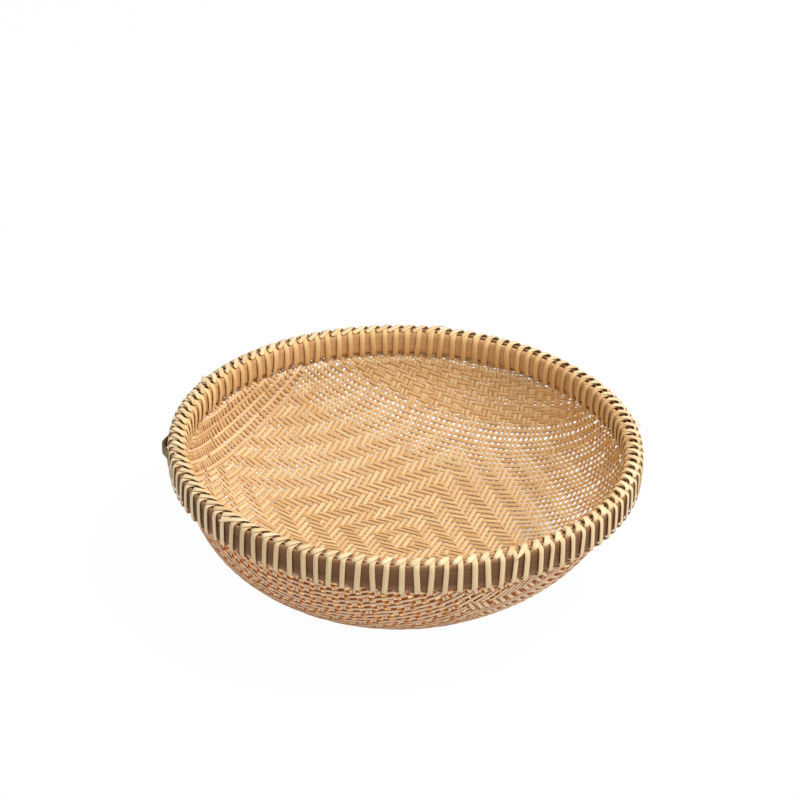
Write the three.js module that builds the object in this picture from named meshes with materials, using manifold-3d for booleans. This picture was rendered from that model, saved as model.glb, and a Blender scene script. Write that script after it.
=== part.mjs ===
// Shallow round basket of split bamboo: a woven bowl clamped between two hoops by a wound lashing.
// Millimetres, +Z up, the opening facing up. The origin is on the resting plane, under the middle of the rim.

import * as THREE from 'three';
import { mergeVertices } from 'three/addons/utils/BufferGeometryUtils.js';
import Module from 'manifold-3d';

const wasm = await Module();
wasm.setup();

// Overall size
const basketDiameter = 230;
const basketHeight = 75;
const baseFlatRadius = 34;

// Fits shared by every piece
const clearance = 0.3;
const overrun = 2;

// Woven bowl
const weaveThickness = 1.2;
const clampedThickness = 2.3;
const neckDrop = 3.6;
const neckInset = 2.9;
const flareHeight = 3;
const bowlLean = 6.5;
const bowlFullness = 1.8;
const profileSteps = 9;

// Hoops and filler
const outerHoopHeight = 12.5;
const outerHoopThickness = 2.1;
const innerHoopHeight = 11.5;
const innerHoopThickness = 2;
const fillerHeight = 2;
const fillerRecess = 0.2;
const lapLength = 38;
const lapTipThickness = 0.5;
const lapStepLength = 1;
const outerLapTurn_share = 0.31;
const innerLapTurn_share = 0.57;
const fillerJointTurn_share = 0.12;
const ringSteps = 110;
const lapSteps = 6;

// Lashing
const lashingWidth = 2.6;
const lashingThickness = 0.6;
const lashingDrop = 1.5;
const crestRise = 0.5;
const lashingLengths = 5;
const turnsPerLength = 22;
const firstTurn = 3;

// Hanging loop
const loopWidth = 6;
const loopThickness = 1;
const loopStandOff = 2.2;
const loopTailLength = 5;
const loopTurn = 56;
const loopReachTurns = 1.5;
const loopSteps = 18;

// Where the gap between neighbouring turns is measured along each stretch of lashing
const measured_shares = [0, 1 / 4, 1 / 2, 3 / 4];

// Derived radii, from the outside of the rim inwards
const rimRadius = basketDiameter / 2;
const outerStrandRadius = rimRadius - lashingThickness / 2;
const outerHoopOutside = rimRadius - lashingThickness - clearance;
const outerHoopInside = outerHoopOutside - outerHoopThickness;
const clampedOutside = outerHoopInside - clearance;
const clampedInside = clampedOutside - clampedThickness;
const innerHoopOutside = clampedInside - clearance;
const innerHoopInside = innerHoopOutside - innerHoopThickness;
const innerStrandRadius = innerHoopInside - clearance - lashingThickness / 2;
const neckRadius = clampedInside - neckInset;
const crestRadius = (outerStrandRadius + innerStrandRadius) / 2;

// Derived heights
const crestHeight = basketHeight - lashingThickness / 2;
const shoulderHeight = crestHeight - crestRise;
const hoopTop = shoulderHeight - lashingThickness / 2 - clearance;
const outerHoopBottom = hoopTop - outerHoopHeight;
const innerHoopBottom = hoopTop - innerHoopHeight;
const fillerTop = hoopTop - fillerRecess;
const fillerBottom = fillerTop - fillerHeight;
const weaveTop = fillerBottom - clearance;
const passHeight = outerHoopBottom - lashingDrop;
const neckHeight = outerHoopBottom - neckDrop;

// Derived turns: each strand of lashing stands on one facet of the bowl
const turnCount = lashingLengths * turnsPerLength;
const turnAngle = 2 * Math.PI / turnCount;
const strandAngle = (turn) => (turn + 1 / 2) * turnAngle;
const loopAngle = loopTurn * turnAngle;
const loopReach = loopReachTurns * turnAngle * rimRadius - lashingWidth / 2;
const loopHalfLength = loopReach + loopTailLength;

const bambooFinish = (color, roughness) => new THREE.MeshStandardMaterial({ color, roughness, metalness: 0 });
const finishes = {
  weave: bambooFinish(0xd9a86c, 0.6),
  outerHoop: bambooFinish(0x8a6844, 0.5),
  innerHoop: bambooFinish(0xc59468, 0.6),
  filler: bambooFinish(0xb98a62, 0.6),
  lashing: bambooFinish(0xe4d2a0, 0.55),
  loop: bambooFinish(0x6e5540, 0.5),
};

const group = new THREE.Group();

function addPiece(name, geometry, material) {
  const mesh = new THREE.Mesh(geometry, material);
  mesh.name = name;
  group.add(mesh);
}

// A point given by its distance from the basket's axis, its angle and its height
function polar(radius, angle, height) {
  return new THREE.Vector3(radius * Math.cos(angle), radius * Math.sin(angle), height);
}

// A closed body through a row of sections, each an equal list of corner points, with flat ends
function loftBody(sections) {
  const corners = sections[0].length;
  const positions = sections.flat().flatMap((point) => point.toArray());
  const faces = [];
  for (let row = 0; row + 1 < sections.length; row += 1) {
    for (let corner = 0; corner < corners; corner += 1) {
      const here = row * corners + corner;
      const beside = row * corners + (corner + 1) % corners;
      faces.push(here, beside, beside + corners, here, beside + corners, here + corners);
    }
  }
  const last = (sections.length - 1) * corners;
  for (let corner = 1; corner + 1 < corners; corner += 1) {
    faces.push(0, corner + 1, corner);
    faces.push(last, last + corner, last + corner + 1);
  }
  const geometry = new THREE.BufferGeometry();
  geometry.setAttribute('position', new THREE.Float32BufferAttribute(positions, 3));
  geometry.setIndex(faces);
  geometry.computeVertexNormals();
  return geometry;
}

// Four corners of a strip standing on edge at one angle, in the order that makes a loft face out
function uprightSection(angle, inside, outside, bottom, top) {
  return [
    polar(inside, angle, bottom),
    polar(inside, angle, top),
    polar(outside, angle, top),
    polar(outside, angle, bottom),
  ];
}

// Solid for cutting, made from a closed mesh whose doubled vertices and empty faces are taken out
function solidOf(source) {
  const bare = source.clone();
  bare.deleteAttribute('normal');
  bare.deleteAttribute('uv');
  const merged = mergeVertices(bare);
  const index = merged.getIndex().array;
  const triangles = [];
  for (let face = 0; face < index.length; face += 3) {
    const [a, b, c] = index.slice(face, face + 3);
    if (a !== b && b !== c && c !== a) {
      triangles.push(a, b, c);
    }
  }
  return new wasm.Manifold(new wasm.Mesh({
    numProp: 3,
    vertProperties: new Float32Array(merged.getAttribute('position').array),
    triVerts: new Uint32Array(triangles),
  }));
}

function geometryOf(solid) {
  const mesh = solid.getMesh();
  const geometry = new THREE.BufferGeometry();
  geometry.setAttribute('position', new THREE.BufferAttribute(mesh.vertProperties, 3));
  geometry.setIndex(new THREE.BufferAttribute(mesh.triVerts, 1));
  geometry.computeVertexNormals();
  return geometry;
}

// Outside of the bowl from the edge of the flat base (sweep 0) up to its neck (sweep a quarter turn)
function outerWallPoint(sweep) {
  const power = 2 / bowlFullness;
  const radius = baseFlatRadius + (neckRadius - baseFlatRadius) * Math.sin(sweep) ** power;
  const height = neckHeight * (1 - Math.cos(sweep) ** power);
  return new THREE.Vector2(radius, height);
}

// The same point carried through the weave to its inside
function innerWallPoint(sweep) {
  const through = new THREE.Vector2(-Math.sin(sweep), Math.cos(sweep));
  return outerWallPoint(sweep).addScaledVector(through, weaveThickness);
}

function quarterSweeps() {
  return Array.from({ length: profileSteps + 1 }, (_, step) => (step / profileSteps) * (Math.PI / 2));
}

// The bowl hangs a little to one side: below the neck it shifts evenly, most at the flat base
function leanBowl(geometry) {
  const points = geometry.getAttribute('position');
  for (let index = 0; index < points.count; index += 1) {
    const below = Math.max(1 - points.getZ(index) / neckHeight, 0);
    points.setX(index, points.getX(index) - bowlLean * below);
  }
  return geometry;
}

// The woven sheet pressed into a bowl, thicker where its crowded strips are clamped by the hoops
function wovenBowl() {
  const profile = [
    new THREE.Vector2(0, 0),
    ...quarterSweeps().map(outerWallPoint),
    new THREE.Vector2(clampedInside + weaveThickness, outerHoopBottom),
    new THREE.Vector2(clampedOutside, outerHoopBottom + flareHeight),
    new THREE.Vector2(clampedOutside, weaveTop),
    new THREE.Vector2(clampedInside, weaveTop),
    new THREE.Vector2(clampedInside, innerHoopBottom - clearance),
    ...quarterSweeps().reverse().map(innerWallPoint),
    new THREE.Vector2(0, weaveThickness),
  ];
  const bowl = new THREE.LatheGeometry(profile, turnCount, Math.PI / 2);
  bowl.rotateX(Math.PI / 2);
  return leanBowl(bowl);
}

// One opening in the weave for each turn of lashing that passes under the hoops
function passSlot(turn) {
  const length = clampedThickness + 2 * overrun;
  const width = lashingWidth + 2 * clearance;
  const height = lashingThickness + 2 * clearance;
  const slot = new THREE.BoxGeometry(length, width, height);
  slot.rotateZ(strandAngle(turn));
  const middle = polar((neckRadius + clampedInside) / 2, strandAngle(turn), passHeight);
  return slot.translate(middle.x, middle.y, middle.z);
}

function slottedBowl() {
  let bowl = solidOf(wovenBowl());
  for (let turn = 0; turn < turnCount; turn += 1) {
    bowl = bowl.subtract(solidOf(passSlot(turn)));
  }
  return geometryOf(bowl);
}

// A strip bent into a ring, its two ends shaved thin and lapped one over the other
function lappedHoop(inside, outside, bottom, startAngle) {
  const lapAngle = lapLength / outside;
  const stepAngle = lapStepLength / outside;
  const tip = lapTipThickness;
  const section = (turned, inner, outer) => uprightSection(startAngle + turned, inner, outer, bottom, hoopTop);
  const sections = [];
  for (let step = 0; step <= lapSteps; step += 1) {
    const share = step / lapSteps;
    const outer = THREE.MathUtils.lerp(inside + tip, outside - tip - clearance, share);
    sections.push(section(share * lapAngle, inside, outer));
  }
  const fullStart = lapAngle + stepAngle;
  const fullEnd = 2 * Math.PI - 2 * stepAngle;
  for (let step = 0; step <= ringSteps; step += 1) {
    sections.push(section(THREE.MathUtils.lerp(fullStart, fullEnd, step / ringSteps), inside, outside));
  }
  for (let step = 0; step <= lapSteps; step += 1) {
    const share = step / lapSteps;
    const inner = THREE.MathUtils.lerp(inside + tip + clearance, outside - tip, share);
    const turned = THREE.MathUtils.lerp(-stepAngle, lapAngle, share);
    sections.push(section(2 * Math.PI + turned, inner, outside));
  }
  return loftBody(sections);
}

// The narrow strip that lies on the weave's cut edge between the hoops, its ends butted
function fillerRing() {
  const inside = clampedInside;
  const outside = clampedOutside;
  const jointAngle = clearance / inside;
  const startAngle = fillerJointTurn_share * 2 * Math.PI;
  const sections = [];
  for (let step = 0; step <= ringSteps; step += 1) {
    const angle = startAngle + (step / ringSteps) * (2 * Math.PI - jointAngle);
    sections.push(uprightSection(angle, inside, outside, fillerBottom, fillerTop));
  }
  return loftBody(sections);
}

// The strands beside the hanging loop are wound over its tails, so they stand further out
function strandRadius(turn) {
  const aheadOfOpposite = THREE.MathUtils.euclideanModulo(strandAngle(turn) - loopAngle + Math.PI, 2 * Math.PI);
  const along = Math.abs(aheadOfOpposite - Math.PI) * rimRadius;
  const overTail = along > loopReach && along - lashingWidth / 2 < loopHalfLength + clearance;
  return outerStrandRadius + (overTail ? loopThickness + clearance : 0);
}

// Section of the flat lashing strip: its width lies along the rim, its thickness along a given lean
function lashingSection(radius, angle, height, leanOut, leanUp) {
  const along = new THREE.Vector3(-Math.sin(angle), Math.cos(angle), 0).multiplyScalar(lashingWidth / 2);
  const across = polar(leanOut, angle, leanUp).multiplyScalar(lashingThickness / 2);
  const middle = polar(radius, angle, height);
  return [
    middle.clone().sub(along).sub(across),
    middle.clone().sub(along).add(across),
    middle.clone().add(along).add(across),
    middle.clone().add(along).sub(across),
  ];
}

// One turn: up the outside, slantwise over the top to the next strand, and down the inside
function turnSections(turn) {
  const here = strandAngle(turn);
  const next = strandAngle(turn + 1);
  const outside = strandRadius(turn);
  return [
    lashingSection(outside, here, passHeight, 1, -1),
    lashingSection(outside, here, shoulderHeight, 1, 1),
    lashingSection(crestRadius, (here + next) / 2, crestHeight, 0, 1),
    lashingSection(innerStrandRadius, next, shoulderHeight, -1, 1),
    lashingSection(innerStrandRadius, next, passHeight, -1, -1),
  ];
}

// One length of lashing: it starts tucked into its first slot and ends at the inside of the next one
function lashingSections(start) {
  const tuckRadius = innerStrandRadius + lashingThickness / 2 + 2 * clearance;
  const sections = [lashingSection(tuckRadius, strandAngle(start), passHeight, 0, -1)];
  for (let turn = start; turn < start + turnsPerLength; turn += 1) {
    sections.push(...turnSections(turn));
  }
  return sections;
}

// Points spread along the edges of one turn
function turnPoints(turn) {
  const sections = turnSections(turn);
  const points = [];
  for (let row = 0; row + 1 < sections.length; row += 1) {
    for (const share of measured_shares) {
      sections[row].forEach((corner, side) => {
        points.push(corner.clone().lerp(sections[row + 1][side], share));
      });
    }
  }
  return points;
}

// Least distance between neighbouring turns of one length of lashing
function leastGap(start) {
  let least = Infinity;
  for (let turn = start + 1; turn < start + turnsPerLength; turn += 1) {
    const before = turnPoints(turn - 1);
    for (const point of turnPoints(turn)) {
      for (const other of before) {
        least = Math.min(least, point.distanceTo(other));
      }
    }
  }
  return least;
}

// A short strip on edge, bowed away from the rim, with a flat tail at each end under the lashing
function hangingLoop() {
  const tailRadius = outerHoopOutside + clearance + loopThickness / 2;
  const middleHeight = (outerHoopBottom + hoopTop) / 2;
  const bottom = middleHeight - loopWidth / 2;
  const sections = [];
  for (let step = 0; step <= loopSteps; step += 1) {
    const along = THREE.MathUtils.lerp(-loopHalfLength, loopHalfLength, step / loopSteps);
    const inBow = Math.min(Math.abs(along) / loopReach, 1);
    const radius = tailRadius + loopStandOff * Math.cos(inBow * Math.PI / 2) ** 2;
    const angle = loopAngle + along / rimRadius;
    const inside = radius - loopThickness / 2;
    const outside = radius + loopThickness / 2;
    sections.push(uprightSection(angle, inside, outside, bottom, bottom + loopWidth));
  }
  return loftBody(sections);
}

addPiece('woven_bowl', slottedBowl(), finishes.weave);
addPiece(
  'outer_hoop',
  lappedHoop(outerHoopInside, outerHoopOutside, outerHoopBottom, outerLapTurn_share * 2 * Math.PI),
  finishes.outerHoop,
);
addPiece(
  'inner_hoop',
  lappedHoop(innerHoopInside, innerHoopOutside, innerHoopBottom, innerLapTurn_share * 2 * Math.PI),
  finishes.innerHoop,
);
addPiece('rim_filler', fillerRing(), finishes.filler);
for (let length = 0; length < lashingLengths; length += 1) {
  const start = firstTurn + length * turnsPerLength;
  const name = `rim_lashing_${length + 1}`;
  console.log(`${name}: least gap between turns ${leastGap(start).toFixed(2)} mm`);
  addPiece(name, loftBody(lashingSections(start)), finishes.lashing);
}
addPiece('hanging_loop', hangingLoop(), finishes.loop);

export default group;
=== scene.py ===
"""Looks of a shallow round basket of split bamboo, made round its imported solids.

Metres, +Z up. One sheet of warps and wefts is pressed into a bowl, clamped between an outer and an
inner hoop, covered by a filler, and bound by a wound lashing that also holds a small hanging loop.
"""

import logging
import math
from collections.abc import Callable
from dataclasses import dataclass, field
from enum import Enum

import bpy
import numpy as np
from mathutils import Matrix, Vector


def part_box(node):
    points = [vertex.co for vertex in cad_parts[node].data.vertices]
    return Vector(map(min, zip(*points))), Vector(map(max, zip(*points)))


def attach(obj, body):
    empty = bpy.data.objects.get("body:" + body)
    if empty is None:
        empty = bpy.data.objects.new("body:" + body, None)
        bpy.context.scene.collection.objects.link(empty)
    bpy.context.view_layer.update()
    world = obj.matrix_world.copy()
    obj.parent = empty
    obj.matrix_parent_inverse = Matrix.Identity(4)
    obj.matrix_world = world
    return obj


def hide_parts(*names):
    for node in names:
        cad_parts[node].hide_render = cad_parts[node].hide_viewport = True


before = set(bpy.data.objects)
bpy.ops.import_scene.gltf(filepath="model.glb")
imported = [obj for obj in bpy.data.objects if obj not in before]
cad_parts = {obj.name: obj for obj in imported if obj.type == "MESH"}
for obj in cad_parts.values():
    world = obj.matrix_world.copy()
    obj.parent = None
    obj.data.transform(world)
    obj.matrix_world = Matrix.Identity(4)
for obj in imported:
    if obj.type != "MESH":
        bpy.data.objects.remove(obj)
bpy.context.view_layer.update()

Colour = tuple[float, float, float, float]
Output = bpy.types.NodeSocket
Piece = bpy.types.Object

MM = 0.001
TINY = 1e-9
FULL_TURN = 2 * math.pi
WHITE = (1.0, 1.0, 1.0, 1.0)
LASHING_LENGTHS = 5
TURNS_PER_LENGTH = 22
TURN_ANGLE = FULL_TURN / (LASHING_LENGTHS * TURNS_PER_LENGTH)
ROOT_BODY = "root"
LOG = logging.getLogger("basket")


def smooth_step(value: float | np.ndarray, low: float, high: float) -> float | np.ndarray:
    """Soft ramp from 0 at low to 1 at high.

    Args:
        value: Where the ramp is read.
        low: Where it starts.
        high: Where it ends.

    Returns:
        The ramp's height at each value.
    """
    share = np.clip((value - low) / (high - low), 0.0, 1.0)
    return share * share * (3.0 - 2.0 * share)


def unit_rows(rows: np.ndarray) -> np.ndarray:
    """Rows scaled to length 1."""
    return rows / np.maximum(np.linalg.norm(rows, axis=-1, keepdims=True), TINY)


def polar_points(
    radius: float | np.ndarray, angle: np.ndarray, height: float | np.ndarray
) -> np.ndarray:
    """Points from their distance to the basket's axis, angle and height."""
    parts = np.broadcast_arrays(radius * np.cos(angle), radius * np.sin(angle), height)
    return np.stack(parts, axis=-1)


def jitter(draws: np.random.Generator, spread: float) -> float:
    """Small difference drawn evenly round 0."""
    return spread * (draws.random() - 0.5)


def linear_colour(red: int, green: int, blue: int) -> Colour:
    """A colour picked on screen, as the linear colour that a shader takes.

    Args:
        red: Red from 0 to 255.
        green: Green from 0 to 255.
        blue: Blue from 0 to 255.

    Returns:
        Linear red, green, blue and an alpha of 1.
    """
    shares = np.array([red, green, blue]) / 255.0
    bright = ((shares + 0.055) / 1.055) ** 2.4
    linear = np.where(shares <= 0.04045, shares / 12.92, bright)
    return (float(linear[0]), float(linear[1]), float(linear[2]), 1.0)


class NodeSketch:
    """Short hand for filling one node tree."""

    def __init__(self, tree: bpy.types.NodeTree) -> None:
        """Starts on an empty tree."""
        self.tree = tree
        self.tree.nodes.clear()

    def add(self, kind: str, sources: dict | None = None, **settings: object) -> bpy.types.Node:
        """Adds a node.

        Args:
            kind: The node's type name.
            sources: What feeds each input, by its name or number: an output or a plain value.
            **settings: Properties of the node.

        Returns:
            The new node.
        """
        node = self.tree.nodes.new(kind)
        for name, value in settings.items():
            setattr(node, name, value)
        for key, source in (sources or {}).items():
            socket = node.inputs[key]
            if isinstance(source, bpy.types.NodeSocket):
                self.tree.links.new(source, socket)
            else:
                socket.default_value = source
        return node

    def maths(self, operation: str, first: object, second: object = 0.0) -> Output:
        """Result of a sum on two numbers."""
        return self.add("ShaderNodeMath", {0: first, 1: second}, operation=operation).outputs[0]

    def vectors(self, operation: str, first: object, second: object) -> Output:
        """Result of a sum on two vectors."""
        sources = {0: first, 1: second}
        return self.add("ShaderNodeVectorMath", sources, operation=operation).outputs[0]

    def scaled(self, vector: object, factor: object) -> Output:
        """A vector times a number."""
        sources = {0: vector, "Scale": factor}
        return self.add("ShaderNodeVectorMath", sources, operation="SCALE").outputs[0]

    def length(self, vector: object) -> Output:
        """Length of a vector."""
        return self.add("ShaderNodeVectorMath", {0: vector}, operation="LENGTH").outputs["Value"]

    def swing(self, value: object, size: float) -> Output:
        """How far a value between 0 and 1 is from its middle, times a size."""
        return self.maths("MULTIPLY", self.maths("SUBTRACT", value, 0.5), size)

    def ramp(self, value: object, start: float, end: float, **settings: object) -> Output:
        """Share that grows from 0 at the start to 1 at the end."""
        sources = {"Value": value, "From Min": start, "From Max": end}
        return self.add("ShaderNodeMapRange", sources, **settings).outputs[0]

    def carried(self, key: str) -> Output:
        """A value that the strips carry, for a material."""
        return self.add("ShaderNodeAttribute", attribute_name=key).outputs["Fac"]

    def blend(self, share: object, first: object, second: object, way: str = "MIX") -> Output:
        """Mixes two colours."""
        sources = {"Factor": share, 6: first, 7: second}
        return self.add("ShaderNodeMix", sources, data_type="RGBA", blend_type=way).outputs[2]

    def layered(self, share: object, under: Output, over: Output) -> Output:
        """Mixes two shaders."""
        return self.add("ShaderNodeMixShader", {0: share, 1: under, 2: over}).outputs[0]

    def light(self, kind: str, colour: Colour, strength: float = 1.0) -> Output:
        """Shader that gives off light."""
        return self.add(kind, {"Color": colour, "Strength": strength}).outputs[0]

    def any_ray(self, first: str, *others: str) -> Output:
        """Tells rays of some kinds from all others.

        Args:
            first: Name of one kind.
            *others: Names of the other kinds.

        Returns:
            1 for a ray of one of the kinds and 0 for any other ray.
        """
        rays = self.add("ShaderNodeLightPath").outputs
        share = rays[first]
        for kind in others:
            share = self.maths("MAXIMUM", share, rays[kind])
        return share


@dataclass
class StripPath:
    """One strip of bamboo, given along its middle line. A single value holds all along it."""

    points: np.ndarray
    facing: np.ndarray
    lift: float | np.ndarray = 0.0
    breadth: float | np.ndarray = 1.0
    depth: float | np.ndarray = 1.0
    tone: float = 0.5


class Socket(Enum):
    """Named inputs of the sweep tree, in its own order."""

    WIDTH = "Strip Width"
    THICKNESS = "Strip Thickness"
    LIFT = "Lift From Sheet"
    CORNERS = "Corners Around"
    SQUARENESS = "Section Squareness"


@dataclass
class StripSweep:
    """Draws flat strips along paths with Geometry Nodes."""

    width: float
    thickness: float
    lift: float = 0.0
    corners: int = 6
    squareness: float = 0.5

    @staticmethod
    def _input_mesh(name: str, paths: list[StripPath]) -> bpy.types.Mesh:
        """Middle lines of the strips as an edge mesh that carries their values.

        Args:
            name: Name of the mesh.
            paths: The strips.

        Returns:
            The mesh.
        """
        edges = []
        start = 0
        for path in paths:
            last = start + len(path.points) - 1
            edges.extend((index, index + 1) for index in range(start, last))
            start = last + 1
        mesh = bpy.data.meshes.new(name)
        mesh.from_pydata(np.concatenate([path.points for path in paths]).tolist(), edges, [])
        for key in ("lift", "breadth", "depth", "tone"):
            column = [np.broadcast_to(getattr(path, key), len(path.points)) for path in paths]
            attribute = mesh.attributes.new(key, "FLOAT", "POINT")
            attribute.data.foreach_set("value", np.concatenate(column).astype(np.float32))
        rows = [np.broadcast_to(path.facing, path.points.shape) for path in paths]
        facing = mesh.attributes.new("facing", "FLOAT_VECTOR", "POINT")
        facing.data.foreach_set("vector", np.concatenate(rows).astype(np.float32).ravel())
        return mesh

    @staticmethod
    def _tree(name: str, material: bpy.types.Material) -> bpy.types.NodeTree:
        """Builds the tree: lift the lines off the sheet, sweep a section, square it and dress it.

        Args:
            name: Name of the tree.
            material: Finish of the strips.

        Returns:
            The tree.
        """
        tree = bpy.data.node_groups.new(name, "GeometryNodeTree")
        tree.interface.new_socket("Geometry", in_out="INPUT", socket_type="NodeSocketGeometry")
        for socket in Socket:
            kind = "NodeSocketInt" if socket is Socket.CORNERS else "NodeSocketFloat"
            tree.interface.new_socket(socket.value, in_out="INPUT", socket_type=kind)
        tree.interface.new_socket("Geometry", in_out="OUTPUT", socket_type="NodeSocketGeometry")
        sketch = NodeSketch(tree)
        given = sketch.add("NodeGroupInput").outputs
        vector = "FLOAT_VECTOR"
        store = "GeometryNodeStoreNamedAttribute"

        def named(key: str, kind: str = "FLOAT") -> Output:
            """Reads a value that the lines carry."""
            node = sketch.add("GeometryNodeInputNamedAttribute", {"Name": key}, data_type=kind)
            return node.outputs["Attribute"]

        def keep(shape: Output, key: str, value: Output, kind: str) -> Output:
            """Stores a value on the shape under a name."""
            sources = {"Geometry": shape, "Name": key, "Value": value}
            return sketch.add(store, sources, data_type=kind, domain="POINT").outputs["Geometry"]

        facing = named("facing", vector)
        line = sketch.add("GeometryNodeMeshToCurve", {"Mesh": given["Geometry"]}).outputs["Curve"]
        rise = sketch.maths("MULTIPLY", named("lift"), given[Socket.LIFT.value])
        sources = {"Geometry": line, "Offset": sketch.scaled(facing, rise)}
        line = sketch.add("GeometryNodeSetPosition", sources).outputs["Geometry"]
        tangent = sketch.add("GeometryNodeInputTangent").outputs[0]
        place = sketch.add("GeometryNodeInputPosition").outputs[0]
        side = sketch.vectors("CROSS_PRODUCT", facing, tangent)
        side = sketch.add("ShaderNodeVectorMath", {0: side}, operation="NORMALIZE").outputs[0]
        length = sketch.add("GeometryNodeSplineParameter").outputs["Length"]
        line = keep(line, "centre", place, vector)
        line = keep(line, "side", side, vector)
        square = sketch.vectors("CROSS_PRODUCT", tangent, named("side", vector))
        line = keep(line, "square", square, vector)
        line = keep(line, "along", length, "FLOAT")

        sources = {"Resolution": given[Socket.CORNERS.value], "Radius": 1.0}
        ring = sketch.add("GeometryNodeCurvePrimitiveCircle", sources, mode="RADIUS").outputs["Curve"]
        parts = sketch.add("ShaderNodeSeparateXYZ", {0: place}).outputs
        for key, part in (("across", parts[0]), ("rise", parts[1])):
            size = sketch.maths("ABSOLUTE", part)
            shaped = sketch.maths("POWER", size, given[Socket.SQUARENESS.value])
            sign = sketch.maths("SIGN", part)
            ring = keep(ring, key, sketch.maths("MULTIPLY", shaped, sign), "FLOAT")

        sources = {"Curve": line, "Profile Curve": ring, "Fill Caps": True}
        swept = sketch.add("GeometryNodeCurveToMesh", sources).outputs["Mesh"]
        spot = named("centre", vector)
        for size, share, section, way in (
            (Socket.WIDTH, "breadth", "across", "side"),
            (Socket.THICKNESS, "depth", "rise", "square"),
        ):
            half = sketch.maths("MULTIPLY", given[size.value], 0.5)
            half = sketch.maths("MULTIPLY", half, named(share))
            offset = sketch.maths("MULTIPLY", half, named(section))
            spot = sketch.vectors("ADD", spot, sketch.scaled(named(way, vector), offset))
        sources = {"Geometry": swept, "Position": spot}
        swept = sketch.add("GeometryNodeSetPosition", sources).outputs["Geometry"]
        swept = sketch.add("GeometryNodeSetShadeSmooth", {0: swept}).outputs[0]
        swept = sketch.add("GeometryNodeRealizeInstances", {0: swept}).outputs[0]
        sources = {"Geometry": swept, "Material": material}
        dressed = sketch.add("GeometryNodeSetMaterial", sources).outputs[0]
        sketch.add("NodeGroupOutput", {0: dressed})
        return tree

    def draw(self, name: str, paths: list[StripPath], material: bpy.types.Material) -> Piece:
        """Makes the strips as one plain mesh.

        Args:
            name: Name of the piece.
            paths: Its strips.
            material: Its finish.

        Returns:
            The piece, at the origin, with no modifier left on it.
        """
        carrier = bpy.data.objects.new(name + "_lines", self._input_mesh(name + "_lines", paths))
        bpy.context.scene.collection.objects.link(carrier)
        tree = self._tree(name + "_sweep", material)
        modifier = carrier.modifiers.new("sweep", "NODES")
        modifier.node_group = tree
        sizes = {
            Socket.WIDTH.value: self.width,
            Socket.THICKNESS.value: self.thickness,
            Socket.LIFT.value: self.lift,
            Socket.CORNERS.value: self.corners,
            Socket.SQUARENESS.value: self.squareness,
        }
        for item in tree.interface.items_tree:
            if item.in_out == "INPUT" and item.name in sizes:
                modifier[item.identifier] = sizes[item.name]
        bpy.context.view_layer.update()
        evaluated = carrier.evaluated_get(bpy.context.evaluated_depsgraph_get())
        mesh = bpy.data.meshes.new_from_object(evaluated)
        carrier.modifiers.remove(modifier)
        bpy.data.objects.remove(carrier)
        for key in ("centre", "side", "square", "facing", "breadth", "depth"):
            if key in mesh.attributes:
                mesh.attributes.remove(mesh.attributes[key])
        mesh.name = name
        piece = bpy.data.objects.new(name, mesh)
        bpy.context.scene.collection.objects.link(piece)
        return piece


def seat(piece: Piece, node: str) -> None:
    """Fixes a finished piece to the basket.

    Args:
        piece: The piece.
        node: The solid that it stands for.
    """
    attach(piece, ROOT_BODY)
    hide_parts(node)


class Measure(Enum):
    """What the reach of a tint is measured along."""

    RIGHTWARDS = "distance to the right of the basket's middle"
    OUTWARDS = "distance from the basket's axis"


@dataclass(frozen=True)
class Tint:
    """Faint colour that grows from one place to another: painted light and shade laid over a finish.
    """

    along: Measure
    start: float
    end: float
    colour: Colour


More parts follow.
